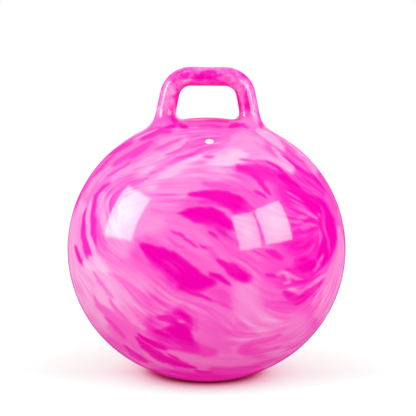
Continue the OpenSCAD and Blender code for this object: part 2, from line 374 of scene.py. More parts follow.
# Streaks on the ball's front, broad washes first: tone, softness of the edges, or of the left and the right
# one, and points. A point is millimetres right of and above readAt, as seen from the camera, and half width.
streaks = dict(
    washTop=(0.27, 0.9, (-100, 118, 14), (-50, 132, 24), (10, 140, 26), (70, 168, 18)),
    washUpLeft=(0.42, 0.9, (-192, 95, 12), (-155, 135, 17), (-105, 172, 15)),
    washLeft=(0.32, 0.9, (-140, 10, 14), (-112, 42, 20), (-84, 42, 10)),
    washMid=(0.38, 0.9, (-92, 84, 8), (-58, 80, 10), (-22, 104, 6)),
    washLeftLow=(0.17, 0.9, (-205, -25, 16), (-175, -50, 28), (-160, -108, 25)),
    washLimb=(0.2, 0.9, (-205, 75, 6), (-216, 35, 11), (-218, -5, 12), (-212, -50, 13), (-194, -92, 9)),
    washUnderBand=(0.41, 0.9, (-82, -70, 8), (-56, -90, 11), (-18, -102, 8)),
    washCrown=(0.28, 0.9, (40, 178, 8), (62, 184, 12), (86, 181, 8)),
    washCrownLeft=(0.33, 0.9, (-74, 178, 5), (-48, 183, 9), (-22, 182, 5)),
    washRight=(0.78, (0.9, 0.8), (132, 98, 16), (158, 60, 32), (166, 18, 40), (154, -38, 34)),
    washRightLow=(0.34, 0.9, (66, -52, 14), (66, -92, 19), (82, -117, 18), (110, -125, 12)),
    washLow=(0.48, 0.9, (-155, -126, 8), (-110, -160, 15), (-50, -188, 16), (10, -195, 12)),
    washLowRight=(0.4, 0.9, (58, -163, 12), (95, -155, 18), (150, -130, 16)),
    washBottomMid=(0.57, 0.9, (-8, -110, 10), (10, -130, 15), (36, -150, 12)),
    # painted shade: darker along the ball's bottom edge
    bottomEdgeShade=(0.82, (0.8, 0.5), (-90, -203, 5), (-45, -212, 10), (0, -216, 12), (45, -212, 10),
                (90, -203, 5)),
    valveRound=(0.46, 0.25, (-18, 187, 12), (4, 187, 18), (26, 187, 12)),
    crownDark=(0.68, 0.6, (-10, 203, 2), (8, 205, 3.5), (22, 203, 2)),
    # painted shade: a darker band at the top of the ball, between the handle's legs
    crownEdgeShade=(0.78, 0.6, (-32, 213, 2), (-12, 214, 2.2), (14, 214, 2.2), (34, 212, 2)),
    paleBand=(0.06, 0.7, (-112, 103, 5), (-100, 108, 8), (-90, 111, 7), (-70, 121, 6), (-50, 132, 6),
              (-30, 144, 7), (-8, 151, 7), (8, 147, 5)),
    paleTop=(0, 0.6, (2, 150, 6), (22, 152, 10), (42, 155, 11), (62, 158, 6)),
    paleAbove=(0.24, 0.8, (-84, 148, 2), (-66, 158, 3.5), (-50, 169, 4), (-37, 182, 3)),
    palePatch=(0.25, 0.9, (-112, 139, 4), (-96, 145, 8), (-80, 155, 6)),
    palePatchOuter=(0.28, 0.9, (-158, 117, 3), (-143, 129, 6), (-124, 138, 4)),
    paleLine=(0.24, 0.6, (-119, 182, 1.2), (-101, 190, 2.4), (-84, 198, 1.5)),
    paleLineLow=(0.3, 0.6, (-178, 109, 1), (-168, 122, 1.8), (-154, 138, 1)),
    paleLineEdge=(0.3, 0.6, (-198, 87, 1), (-189, 105, 1.5), (-176, 122, 1)),
    greyBand=(0.5, (0.8, 0.6), (-92, 124, 2), (-78, 132, 3), (-60, 142, 3.4), (-42, 150, 3), (-26, 156, 2)),
    greyShort=(0.46, 0.7, (-119, 109, 1.5), (-107, 114, 3), (-96, 120, 2)),
    greyUnder=(0.4, 0.9, (-70, 104, 3), (-40, 106, 6), (-8, 112, 6), (24, 108, 3)),
    upLeft=(0.72, (0.4, 0.6), (-108, 181, 2), (-91, 189, 4), (-76, 195, 4), (-60, 197, 2.5)),
    upLeftMid=(0.64, (0.4, 0.6), (-154, 141, 2), (-138, 151, 3.5), (-117, 159, 6.5), (-103, 168, 5),
               (-90, 177, 2)),
    upLeftLine=(0.7, 0.5, (-160, 156, 1.4), (-141, 167, 2.2), (-124, 177, 1.4)),
    upLeftHair=(0.68, 0.5, (-185, 121, 1), (-169, 141, 1.8), (-152, 157, 1.2)),
    upLeftHairIn=(0.6, 0.5, (-163, 121, 1), (-144, 134, 1.8), (-125, 146, 1)),
    upLeftPaleHair=(0.28, 0.5, (-199, 97, 0.8), (-180, 121, 1.3), (-161, 138, 0.8)),
    crownHair=(0.56, 0.5, (-84, 165, 1), (-62, 176, 1.8), (-40, 184, 1)),
    crownHairIn=(0.55, 0.5, (-66, 157, 1), (-46, 166, 1.8), (-30, 178, 1)),
    crownHairLow=(0.62, 0.5, (-50, 151, 1), (-27, 158, 2.6), (-10, 167, 1.6)),
    upLeftEdge=(0.62, 0.6, (-202, 98, 1.5), (-190, 121, 2.4), (-176, 139, 2.4), (-160, 154, 1.5)),
    leftArcTop=(0.8, (0.5, 0.6), (-162, 108, 1.2), (-172, 100, 2.2), (-183, 89, 2)),
    leftArc=(0.78, 0.35, (-181, 86, 2.5), (-186, 68, 4.2), (-188, 48, 4.6), (-187, 30, 4.4), (-182, 11, 3)),
    leftArcOuter=(0.8, (0.4, 0.5), (-198, 68, 1.6), (-202, 50, 3), (-203, 29, 3.4), (-200, 9, 3.6),
                  (-195, -9, 5)),
    leftArcEdge=(0.88, (0.4, 0.5), (-216, 6, 1.2), (-213, -4, 2.8), (-209, -16, 2.8), (-203, -26, 1.2)),
    paleArc=(0.2, 0.5, (-189, 86, 1.4), (-195, 62, 2.6), (-196, 40, 2.8), (-193, 16, 2.6), (-186, -3, 2)),
    paleArcOuter=(0.3, 0.6, (-208, 56, 1.4), (-211, 32, 2.4), (-210, 10, 2.4), (-205, -12, 2)),
    paleArcInner=(0.22, 0.8, (-170, 86, 6), (-171, 56, 9), (-166, 28, 7)),
    paleTip=(0.18, (0.5, 0.7), (-192, -12, 3), (-182, -16, 5.5), (-170, -23, 4)),
    paleTipLow=(0.05, 0.6, (-202, -23, 2), (-184, -30, 4), (-164, -33, 2.5)),
    greyLeft=(0.42, 0.9, (-171, 12, 7), (-156, -10, 11), (-136, -29, 9)),
    washSlope=(0.37, 0.9, (-150, -38, 8), (-120, -52, 13), (-88, -66, 8)),
    greySlope=(0.5, (0.7, 0.6), (-152, -40, 1.5), (-136, -55, 3), (-121, -70, 5), (-108, -85, 7),
               (-96, -97, 6)),
    greySlopeLine=(0.45, 0.6, (-186, -37, 1), (-176, -54, 2), (-165, -68, 2), (-154, -81, 1)),
    bandHead=(0.53, 0.5, (-113, 15, 3), (-107, 4, 7), (-99, -10, 10), (-90, -26, 7)),
    bandUnder=(0.62, (0.5, 0.8), (-92, -26, 3), (-76, -40, 5), (-60, -55, 5), (-46, -68, 3)),
    bigBand=(1, (0.18, 0.35), (-104, 7, 4), (-92, -2, 10), (-78, -11, 15), (-60, -22, 18), (-40, -38, 19),
             (-20, -53, 16), (3, -54, 8)),
    bandTail=(0.95, 0.4, (-42, -62, 6), (-26, -70, 4.5), (-8, -77, 3), (12, -84, 1.5)),
    tailGrey=(0.62, (0.6, 0.7), (6, -67, 3), (20, -70, 6), (31, -76, 5), (39, -86, 2)),
    tailLine=(0.66, 0.6, (8, -82, 1.5), (24, -88, 2.5), (38, -98, 1.5)),
    blade=(1, 0.3, (7, -41, 2), (19, -47, 4.5), (29, -53, 3.5), (37, -58, 1.4)),
    middleLine=(0.78, 0.6, (-58, 30, 1), (-44, 23, 2), (-31, 15, 2), (-15, 4, 1)),
    middleLineLow=(0.65, 0.6, (-62, 16, 1), (-50, 9, 1.8), (-38, 3, 1)),
    middleLineShort=(0.58, 0.6, (-40, -2, 1), (-24, -8, 1.8), (-6, -20, 1)),
    middleDash=(0.88, 0.5, (-9, 6, 1), (0, 4, 2), (8, 1, 1.4)),
    middleGrey=(0.62, 0.7, (5, 1, 2), (12, -9, 4), (20, -20, 3)),
    secondEnd=(0.72, (0.3, 0.25), (55, -39, 8), (64, -44, 8), (73, -46, 5)),
    secondBand=(0.97, (0.3, 0.35), (17, -20, 2), (35, -28, 7), (51, -38, 10), (62, -46, 8)),
    archBody=(0.7, (0.7, 0.8), (2, 42, 7), (20, 37, 10), (37, 27, 10), (48, 12, 6)),
    archSpot=(0.9, 0.5, (3, 28, 1), (12, 24, 2.2), (20, 19, 1.4)),
    archSpotUpper=(0.88, 0.6, (18, 33, 2), (25, 31, 3.5), (30, 26, 2)),
    lowerArch=(1, (0.2, 0.35), (-44, 60, 3), (-30, 61, 8.5), (-12, 58, 13), (6, 55, 14), (24, 49, 11),
               (38, 41, 6)),
    archGap=(0.72, 0.7, (-12, 80, 3), (8, 79, 4), (26, 74, 3)),
    archEnd=(0.75, (0.4, 0.5), (47, 77, 12), (62, 68, 10), (76, 60, 6)),
    arch=(0.98, (0.25, 0.3), (-30, 92, 1.4), (-6, 92, 5), (14, 90, 8.5), (32, 84, 12), (46, 77, 13)),
    archFringe=(0.62, (0.7, 0.6), (-5, 110, 2), (12, 108, 4), (32, 104, 4), (52, 98, 2)),
    archLine=(0.6, 0.6, (55, 101, 1), (70, 94, 2), (83, 85, 2), (95, 75, 1)),
    archDash=(0.86, 0.5, (79, 95, 1.2), (89, 91, 2.2), (99, 84, 1.2)),
    bodyUpper=(0.74, (0.3, 0.6), (53, 134, 5), (74, 132, 10), (95, 125, 12), (113, 120, 10), (130, 118, 6)),
    bodyTop=(0.58, (0.4, 0.6), (57, 150, 1.4), (80, 148, 2.6), (102, 145, 3.2), (120, 137, 3),
             (133, 124, 2.6)),
    bodyTopDark=(0.95, (0.4, 0.5), (100, 145, 1.5), (113, 140, 3), (124, 131, 2.4), (132, 121, 1.6)),
    bodyEdge=(0.88, 0.6, (73, 126, 1.4), (84, 119, 2.8), (92, 109, 3), (98, 98, 2.8), (105, 90, 1.4)),
    bodyVein=(0.86, 0.6, (85, 128, 1), (98, 127, 2), (109, 121, 1.4)),
    diagonal=(1, (0.3, 0.5), (120, 121, 2.5), (131, 117, 6), (143, 104, 6.5), (155, 92, 7), (167, 81, 9)),
    diagonalEnd=(0.97, (0.35, 0.5), (164, 84, 8), (177, 79, 13), (189, 68, 11)),
    lineBody=(0.71, 0.5, (146, 124, 4), (161, 113, 8), (176, 103, 9), (191, 91, 5)),
    lineUpper=(0.9, (0.4, 0.6), (119, 160, 1.2), (130, 152, 2.4), (141, 142, 3), (151, 134, 3),
               (162, 127, 3)),
    lineLower=(0.92, (0.4, 0.5), (160, 128, 2.6), (172, 122, 3), (182, 115, 3), (190, 106, 2.4),
               (198, 94, 1.2)),
    lineThin=(0.62, (0.5, 0.6), (127, 173, 1), (139, 160, 1.6), (149, 150, 1.6), (159, 144, 1)),
    shoulderGrey=(0.52, 0.6, (94, 200, 1), (110, 191, 2), (126, 181, 2), (142, 168, 1.4)),
    shoulderPale=(0.12, (0.7, 0.8), (84, 197, 2), (100, 188, 5), (115, 178, 5), (127, 167, 3)),
    shoulderPaleLow=(0.2, 0.7, (110, 169, 1.4), (122, 156, 3.4), (134, 144, 3.4), (144, 134, 2)),
    shoulderPaleIn=(0.22, 0.7, (74, 151, 2), (92, 153, 4), (110, 149, 4), (127, 140, 3), (140, 130, 2)),
    limbPaleUpper=(0.3, (0.8, 0.7), (150, 160, 2), (168, 146, 4), (183, 129, 4), (197, 109, 4),
                   (207, 90, 3)),
    topGrey=(0.34, 0.7, (79, 180, 1.4), (88, 173, 2.6), (93, 164, 1.8)),
    topGreyLow=(0.3, (0.8, 0.7), (62, 163, 1.4), (80, 164, 3), (96, 160, 3), (110, 154, 1.4)),
    rightEdge=(1, (0.3, 0.35), (180, 74, 8), (194, 56, 11), (200, 38, 12.5), (201, 19, 13), (197, 1, 13),
               (191, -14, 10), (184, -27, 4)),
    edgeWisp=(0.7, 0.6, (187, 79, 0.8), (193, 59, 1.6), (194, 36, 1.6), (201, 12, 1.2), (203, -6, 0.8)),
    diagonalGap=(0.64, 0.8, (135, 92, 3), (152, 78, 6), (166, 66, 3)),
    rightMist=(0.6, 0.7, (148, 43, 2), (163, 53, 4), (177, 51, 4), (187, 57, 2)),
    rightMistLow=(0.66, 0.7, (150, 33, 2), (164, 37, 3.5), (179, 34, 4), (187, 22, 3), (184, 8, 1.5)),
    rightMistEnd=(0.68, (0.5, 0.6), (173, 6, 4), (169, -6, 8), (162, -16, 6)),
    rightFleck=(0.92, 0.5, (145, 26, 1), (153, 30, 2.2), (161, 29, 1.2)),
    rightFleckMid=(0.92, 0.5, (167, 29, 1.2), (175, 31, 2.4), (183, 34, 1.6)),
    rightFleckTop=(0.92, 0.5, (164, 45, 1.4), (172, 48, 3), (181, 45, 1.8)),
    rightBar=(0.96, (0.35, 0.5), (138, 4, 2.5), (150, 8, 6.5), (162, 8, 7), (173, 14, 3)),
    rightBlob=(1, (0.35, 0.4), (145, -25, 5), (157, -25, 12), (168, -29, 13), (176, -38, 6)),
    rightLead=(0.66, 0.8, (84, -6, 7), (108, -14, 12), (134, -22, 12)),
    rightDash=(0.9, 0.6, (101, -3, 1.6), (111, -8, 4), (123, -14, 3)),
    rightTwig=(0.88, 0.5, (131, -35, 1), (140, -36, 1.8), (149, -36, 1)),
    rightTwigLow=(0.92, 0.5, (99, -42, 1), (108, -45, 2.4), (118, -46, 1)),
    rightGap=(0.52, 0.6, (191, -9, 1), (184, -24, 2.6), (177, -37, 1.6)),
    midVein=(0.62, 0.7, (18, 24, 1), (30, 8, 2.2), (45, -9, 2.2), (70, -18, 2.2), (92, -36, 1)),
    midVeinUpper=(0.62, 0.7, (58, -2, 1), (78, -13, 2.2), (104, -24, 1.4)),
    squiggle=(0.33, 0.6, (117, -45, 1), (125, -38, 1.6), (134, -43, 1.6), (137, -52, 1.6), (128, -57, 1)),
    squiggleOuter=(0.36, 0.6, (138, -42, 1), (147, -49, 1.6), (160, -50, 1)),
    lowRightWash=(0.64, (0.8, 0.7), (100, -90, 4), (121, -93, 8), (142, -94, 9), (161, -89, 8),
                  (176, -78, 4)),
    rightTail=(0.95, 0.8, (186, -36, 5), (192, -57, 8), (186, -79, 6)),
    footSpot=(1, (0.5, 0.6), (79, 217, 2.5), (84, 210, 4), (90, 203, 2.5)),
    lowRightGrey=(0.6, 0.7, (158, -53, 2), (174, -45, 3.4), (188, -36, 3), (197, -28, 2)),
    lowRightPale=(0.34, 0.7, (136, -66, 1), (153, -69, 2.2), (176, -57, 2.2), (196, -41, 2)),
    lowRightLine=(0.78, (0.5, 0.6), (158, -76, 1.6), (172, -70, 2.6), (185, -64, 2.6), (198, -57, 1.4)),
    lowRight=(0.96, (0.4, 0.5), (131, -72, 3), (138, -79, 5.5), (149, -81, 4), (161, -77, 2)),
    lowRightTip=(0.9, 0.5, (147, -91, 1.2), (158, -85, 2.8), (166, -79, 2.4), (175, -72, 1.2)),
    limbPale=(0.3, (0.6, 0.8), (219, 36, 2), (222, 6, 5), (219, -24, 8), (212, -54, 9), (201, -84, 8),
              (184, -112, 5)),
    limbUpper=(0.66, 0.7, (186, 127, 3), (203, 97, 6), (214, 68, 5)),
    limbPaleIn=(0.38, 0.8, (206, -27, 2), (200, -48, 4), (190, -70, 4), (180, -88, 2)),
    limbGrey=(0.52, 0.6, (190, -70, 1), (185, -85, 2.2), (178, -98, 1.2)),
    lowStreak=(0.6, (0.6, 0.7), (44, -131, 1), (57, -138, 2.2), (72, -140, 2.2), (88, -141, 1)),
    lowWedge=(0.63, (0.5, 0.8), (60, -161, 4), (84, -154, 4), (105, -148, 3), (123, -140, 1.4)),
    lowWedgeNext=(0.67, (0.7, 0.5), (58, -168, 5), (84, -171, 8), (105, -168, 5.5), (120, -161, 2)),
    lowPale=(0.43, 0.8, (8, -184, 2), (40, -188, 4), (70, -185, 4), (100, -176, 4), (130, -163, 2)),
    lowGrey=(0.69, 0.6, (8, -198, 4), (35, -201, 6), (60, -199, 5), (88, -193, 2)),
    blotchHalo=(0.67, (0.6, 0.8), (-64, -105, 4), (-41, -101, 7), (-24, -111, 7), (-19, -130, 5)),
    blotchLeft=(0.71, 0.8, (-92, -117, 6), (-84, -133, 10), (-72, -148, 10), (-56, -160, 7)),
    blotchFade=(0.7, 0.8, (-42, -153, 9), (-26, -162, 11), (-8, -167, 9), (12, -168, 5)),
    blotchUnder=(0.8, (0.6, 0.8), (-72, -148, 5), (-48, -157, 8), (-22, -160, 7)),
    blotch=(1, (0.3, 0.45), (-82, -135, 2.5), (-66, -136, 8), (-50, -136, 12.5), (-38, -142, 12),
            (-27, -152, 6)),
    blotchArm=(1, (0.4, 0.5), (-77, -111, 2.4), (-62, -114, 4.6), (-50, -119, 5.4), (-40, -126, 5)),
    hook=(0.95, (0.4, 0.6), (-50, -104, 2), (-39, -107, 5), (-32, -116, 6), (-31, -128, 4.5)),
    hookFleck=(0.55, 0.5, (-46, -118, 0.6), (-41, -120, 1.2), (-37, -119, 0.6)),
    lowLeftBand=(0.52, (0.6, 0.7), (-180, -91, 3), (-161, -105, 6), (-143, -121, 7), (-126, -135, 7),
                 (-110, -147, 5)),
    lowLeftDark=(0.66, 0.6, (-166, -111, 1), (-150, -128, 2.6), (-134, -145, 2)),
    lowLeftLine=(0.5, 0.7, (-161, -81, 1), (-149, -99, 2.6), (-137, -111, 2.6), (-123, -125, 1.4)),
    lowLeftLineOuter=(0.5, 0.7, (-188, -76, 1), (-179, -90, 2.4), (-167, -101, 1.4)),
    lowLeftPale=(0.33, 0.8, (-141, -94, 2), (-126, -109, 4.5), (-113, -121, 4.5), (-99, -130, 2)),
    lowEdgeGrey=(0.56, 0.6, (-167, -146, 1.2), (-151, -156, 2.6), (-135, -165, 2)),
    lowPaleLine=(0.45, 0.7, (-141, -149, 1.2), (-125, -160, 3), (-108, -171, 3), (-90, -183, 1.4)),
    lowFirst=(0.98, (0.3, 0.4), (-111, -140, 1.2), (-100, -147, 3), (-88, -154, 4), (-76, -160, 3.5),
              (-65, -165, 1.2)),
    lowSecond=(0.96, (0.4, 0.5), (-113, -146, 1.5), (-102, -158, 4), (-90, -168, 5), (-76, -177, 5),
               (-60, -184, 4), (-44, -190, 4), (-20, -195, 1.5)),
    lowSecondTop=(0.84, 0.5, (-65, -171, 1), (-52, -180, 2.4), (-35, -188, 1.2)),
    lowThird=(0.8, 0.5, (-134, -159, 1.2), (-122, -170, 3.5), (-110, -178, 3.5), (-98, -185, 1.6)),
    lowPaleBand=(0.42, 0.7, (-66, -166, 1.4), (-50, -172, 4), (-30, -178, 5), (0, -183, 4), (22, -186, 2)),
    lowFourth=(0.88, 0.5, (-19, -200, 1), (-6, -202, 1.8), (6, -202, 1)),
    footLeft=(1, (0.35, 0.4), (-53, 209, 2), (-45, 206, 3.6), (-36, 202, 2)),
    footLeftOuter=(0.95, 0.4, (-68, 201, 1.4), (-60, 203, 2.6), (-53, 203, 1.6)),
    footLeftLine=(0.76, 0.5, (-77, 199, 1), (-68, 197, 1.6), (-59, 193, 1)),
    footRight=(1, (0.35, 0.4), (39, 203, 1.6), (47, 206, 3.4), (56, 204, 2)),
    footRightOuter=(0.9, 0.4, (57, 206, 1), (62, 204, 2), (67, 201, 1)),
    spot=(0.54, 0.5, (-5, 155, 2), (2, 154, 4), (9, 155, 2)),
)
# Painted last, where the soft boxes are mirrored, partly dye and partly painted reflection: no threads, and
# the flow doesn't follow them
reflectionWashes = dict(
    leftReflectionWash=(0.33, 0.7, (-144, 4, 14), (-134, 46, 22), (-108, 86, 16)),
    rightReflectionWash=(0.58, 0.7, (60, 24, 14), (80, 32, 22), (100, 38, 22), (122, 46, 14)),
)

# Streaks on the handle: millimetres along the loop from the middle of the grip, and round it from its front,
# outwards
handleStreaks = dict(
    # painted highlight: a pale streak along the top of the grip
    gripTopHighlight=(0.42, 0.8, (-30, 18, 1.4), (0, 20, 2.6), (30, 18, 1.4)),
    legPale=(0.34, 0.8, (-66, 10, 7), (-88, 8, 10), (-112, 6, 8)),
    cornerPale=(0.46, 0.8, (27, 7, 7), (42, 3, 10), (56, -3, 8)),
    # painted shade: the lower side and the underside of the grip are darker
    gripUnderShade=(0.82, 0.7, (-36, -17, 3), (0, -16, 5), (36, -17, 3)),
    gripBelowShade=(1, 0.5, (-44, -30, 6), (0, -30, 9), (44, -30, 6)),
    cornerOuter=(0.8, 0.6, (49, 18, 2), (60, 20, 4), (73, 22, 3)),
    rimLeft=(0.62, 0.6, (-48, 22, 2), (-76, 22, 3), (-106, 22, 2)),
    innerLeft=(0.74, (0.7, 0.6), (-56, -20, 3), (-78, -20, 5), (-94, -19, 4), (-108, -18, 2)),
    legDark=(0.9, 0.6, (73, 1, 3), (90, -1, 6), (106, -2, 6), (118, -3, 4)),
    legGap=(0.42, 0.7, (72, -9, 1.5), (88, -10, 2.5), (101, -11, 1.5)),
    legInner=(0.88, 0.6, (66, -18, 2), (88, -18, 4), (108, -19, 3)),
    # painted highlight: a pale spot on the front of the right foot
    footHighlight=(0.16, 0.7, (112, 6, 2), (120, 7, 4), (128, 8, 3)),
    footOuter=(1, (0.5, 0.6), (112, 18, 3), (120, 18, 5), (129, 17, 4)),
)
# Dabs on it: tone, half width, and place along and round the loop
handleDabs = [(0.75, 2.4, -26, -2), (0.85, 2.6, -21, 4), (1, 4.2, -15, -3), (0.9, 2.8, -10, 4),
              (1, 5.2, -4, -1), (1, 4.2, 4, -3), (0.9, 3.2, 0, 8), (0.85, 3.2, 9, 9), (0.95, 3.2, 12, 3),
              (0.8, 2.6, 18, 5), (0.7, 2.2, 22, 1), (0.8, 2.4, 13, -6), (0.45, 1.4, -18, 8),
              (0.45, 1.4, 16, -2), (0.4, 1.2, -9, 10), (0.75, 3, -42, 5), (0.8, 2.6, -36, 1),
              (0.7, 2.2, -33, 7), (0.65, 2.2, -50, 9), (0.62, 2.4, -54, -2), (0.6, 2.2, 31, -3),
              (0.62, 2, 38, 10), (0.6, 2.2, 46, 6), (0.85, 2.4, -78, -9), (0.72, 2.4, -89, -15),
              (0.75, 2.2, -97, -9), (0.68, 2.2, -106, -16), (0.65, 1.8, -105, -8), (0.3, 1.8, -70, -7),
              (0.9, 2.6, 82, 1), (0.92, 2.6, 94, -3), (0.9, 2.2, 110, 0), (0.55, 1.6, 88, 4),
              (0.5, 1.6, 102, -6)]
# Half widths and slant of a dab's ends, as shares of its own half width
dabLook = dict(soft=0.6, tips=(0.6, 0.5), slants=(-0.4, 0.3))
for k, (tone, half, along, girth) in enumerate(handleDabs):
    first = (along - half, girth + dabLook["slants"][0] * half, dabLook["tips"][0] * half)
    last = (along + half, girth + dabLook["slants"][1] * half, dabLook["tips"][1] * half)
    handleStreaks["dab%d" % k] = (tone, dabLook["soft"], first, (along, girth, half), last)


def smoothStep(a, b, x):
    t = np.clip((x - a) / (b - a), 0, 1)
    return t * t * (3 - 2 * t)


def blend(grid, ix, iy, fx, fy):
    low = grid[iy, ix] * (1 - fx) + grid[iy, ix + 1] * fx
    high = grid[iy + 1, ix] * (1 - fx) + grid[iy + 1, ix + 1] * fx
    return low * (1 - fy) + high * fy


def latticeNoise(x, y, size, seed):
    side = 256
    lattice = np.pad(np.random.default_rng(seed).random((side, side)), (0, 1), "wrap")
    gx, gy = x / size + side / 2, y / size + side / 2
    ix, iy = np.floor(gx).astype(int), np.floor(gy).astype(int)
    return blend(lattice, ix % side, iy % side, smoothStep(0, 1, gx - ix), smoothStep(0, 1, gy - iy))


def chartCell(x, y, cells):
    scale = (cells - 1) / (2 * marble["reach"])
    most = cells - 1.001   # just inside the last cell
    return np.clip((x + marble["reach"]) * scale, 0, most), np.clip((y + marble["reach"]) * scale, 0, most)


def readChart(chart, x, y):
    gx, gy = chartCell(x, y, chart.shape[0])
    ix, iy = gx.astype(int), gy.astype(int)
    return blend(chart, ix, iy, gx - ix, gy - iy)


def smoothPath(streak):
    # a smooth curve through the streak's points, and its half width along it
    points = np.array(streak[2:], float)
    p, last = points[:, :2], len(points) - 1
    p = np.vstack([2 * p[0] - p[1], p, 2 * p[-1] - p[-2]])
    t = np.linspace(0, last, marble["pathSteps"] * len(points))
    i = np.minimum(t.astype(int), last - 1)
    f = (t - i)[:, None]
    a, b, c, d = p[i], p[i + 1], p[i + 2], p[i + 3]
    bend, twist = 2 * a - 5 * b + 4 * c - d, 3 * b - a - 3 * c + d
    path = 0.5 * (2 * b + (c - a) * f + bend * f ** 2 + twist * f ** 3)
    return path, np.interp(np.linspace(0, 1, len(t)), np.linspace(0, 1, len(points)), points[:, 2])


def chartOf(n):
    # equal-area chart round the ball's front, for directions from its middle
    stretch = ballMm * np.sqrt(2 / np.maximum(1 - n[..., 1], tiny))
    return n[..., 0] * stretch, n[..., 2] * stretch


def seenOf(x, y):
    # place on the chart to place as seen from the camera
    rounds = 4
    squeeze = np.sqrt(np.maximum(1 - (x * x + y * y) / (4 * ballMm ** 2), 0))
    n = np.stack([x / ballMm * squeeze, 1 - 2 * squeeze ** 2, y / ballMm * squeeze], -1).reshape(-1, 3)
    reach = np.full((len(n), 1), ballRadius)
    for k in range(rounds):
        reach -= ballDistance(middle + n * reach)[:, None]
    p = n * reach
    scale = mm * shot["distance"] / (shot["distance"] - p @ seenBack)
    right, up = p @ seenRight * scale - marble["readAt"][0], p @ seenUp * scale - marble["readAt"][1]
    return right.reshape(x.shape), up.reshape(x.shape)


def chartOfSeen(path):
    lead, rounds = 1.2, 40   # where a ray starts, in radii before the ball, and its steps
    path = (path + marble["readAt"]) / mm
    ray = path[:, :1] * seenRight + path[:, 1:] * seenUp - shot["distance"] * seenBack
    ray /= np.linalg.norm(ray, axis=1, keepdims=True)
    furthest = -shot["distance"] * ray @ seenBack   # a ray that misses the ball stops nearest to it
    reach = furthest - lead * ballRadius
    for k in range(rounds):
        reach = np.minimum(reach + ballDistance(eye + reach[:, None] * ray), furthest)
    n = eye + reach[:, None] * ray - middle
    return np.stack(chartOf(n / np.linalg.norm(n, axis=1, keepdims=True)), 1)


def flowField(paths, gx, gy):
    # the dye runs along the streaks, and round the middle where there are none
    axis = np.linspace(-marble["reach"], marble["reach"], marble["flowCells"])
    x, y = np.meshgrid(axis, axis)
    near, far = 2 * marble["flowReach"] ** 2, 2 * marble["farReach"] ** 2
    faint = marble["roundShare"] / (x * x + y * y + marble["flowReach"] ** 2)
    flowA, flowB = faint * (y * y - x * x), faint * -2 * x * y
    for path in paths:
        step = np.diff(path, axis=0)
        for (px, py), (sx, sy) in zip((path[1:] + path[:-1]) / 2, step):
            gap = (x - px) ** 2 + (y - py) ** 2
            weight = np.exp(-gap / near) + marble["farShare"] * np.exp(-gap / far)
            weight *= math.hypot(sx, sy)
            turn = 2 * math.atan2(sy, sx)
            flowA += weight * math.cos(turn)
            flowB += weight * math.sin(turn)
    size = np.hypot(flowA, flowB)
    turn = np.arctan2(readChart(flowB / size, gx, gy), readChart(flowA / size, gx, gy)) / 2
    eddySeed = marble["seed"] + marble["seedSteps"]["eddy"]
    turn += marble["eddyTurn"] * (latticeNoise(gx, gy, marble["eddySize"], eddySeed) - 0.5)
    return np.cos(turn), np.sin(turn)


def drawOut(layers, runs, step, gx, gy, flowX, flowY):
    # averages each layer along the flow, over its own run
    totals, weights = [layer.copy() for layer in layers], [1.0] * len(layers)
    for way in (1, -1):
        x, y = gx, gy
        headX, headY = flowX * way, flowY * way
        for k in range(max(runs)):
            x, y = x + headX * step, y + headY * step
            for i, (layer, run) in enumerate(zip(layers, runs)):
                if k < run:
                    weight = 1 - (k + 1) / (run + 1)
                    totals[i] += weight * readChart(layer, x, y)
                    weights[i] += weight
            ix, iy = [np.round(g).astype(int) for g in chartCell(x, y, len(flowX))]
            nextX, nextY = flowX[iy, ix], flowY[iy, ix]
            sign = np.where(nextX * headX + nextY * headY < 0, -1.0, 1.0)
            headX, headY = nextX * sign, nextY * sign
    return [total / weight for total, weight in zip(totals, weights)]


def layStreak(tone, grain, placeX, placeY, streak, thread):
    ownTone, soft = streak[:2]
    left, right = soft if isinstance(soft, tuple) else (soft, soft)
    path, half = smoothPath(streak)
    reach = max(half) * (1 + marble["nearSoft"] * max(left, right)) + marble["nearMargin"]
    low, high = path.min(0) - reach, path.max(0) + reach
    near = (placeX > low[0]) & (placeX < high[0]) & (placeY > low[1]) & (placeY < high[1])
    x, y = placeX[near], placeY[near]
    best, width, side = np.full(x.shape, np.inf), np.zeros(x.shape), np.zeros(x.shape)
    for k in range(len(path) - 1):
        (ax, ay), (ex, ey) = path[k], path[k + 1] - path[k]
        t = np.clip(((x - ax) * ex + (y - ay) * ey) / (ex * ex + ey * ey), 0, 1)
        offX, offY = x - ax - t * ex, y - ay - t * ey
        gap = np.hypot(offX, offY)
        nearer = gap < best
        best = np.where(nearer, gap, best)
        width = np.where(nearer, half[k] + (half[k + 1] - half[k]) * t, width)
        side = np.where(nearer, ex * offY - ey * offX, side)
    soft = np.where(side > 0, left, right)
    width += marble["leastHalf"]
    comb = marble["combing"] * soft * grain[near] * np.minimum(1, marble["combWidth"] / width)
    frayed = best / width + comb
    cover = 1 - smoothStep(1 - marble["edgeIn"] * soft, 1 + marble["edgeOut"] * soft, frayed)
    tone[near] += cover * (ownTone + thread * grain[near] - tone[near])


def evenOut(layer):
    return (layer - layer.mean()) / layer.std()


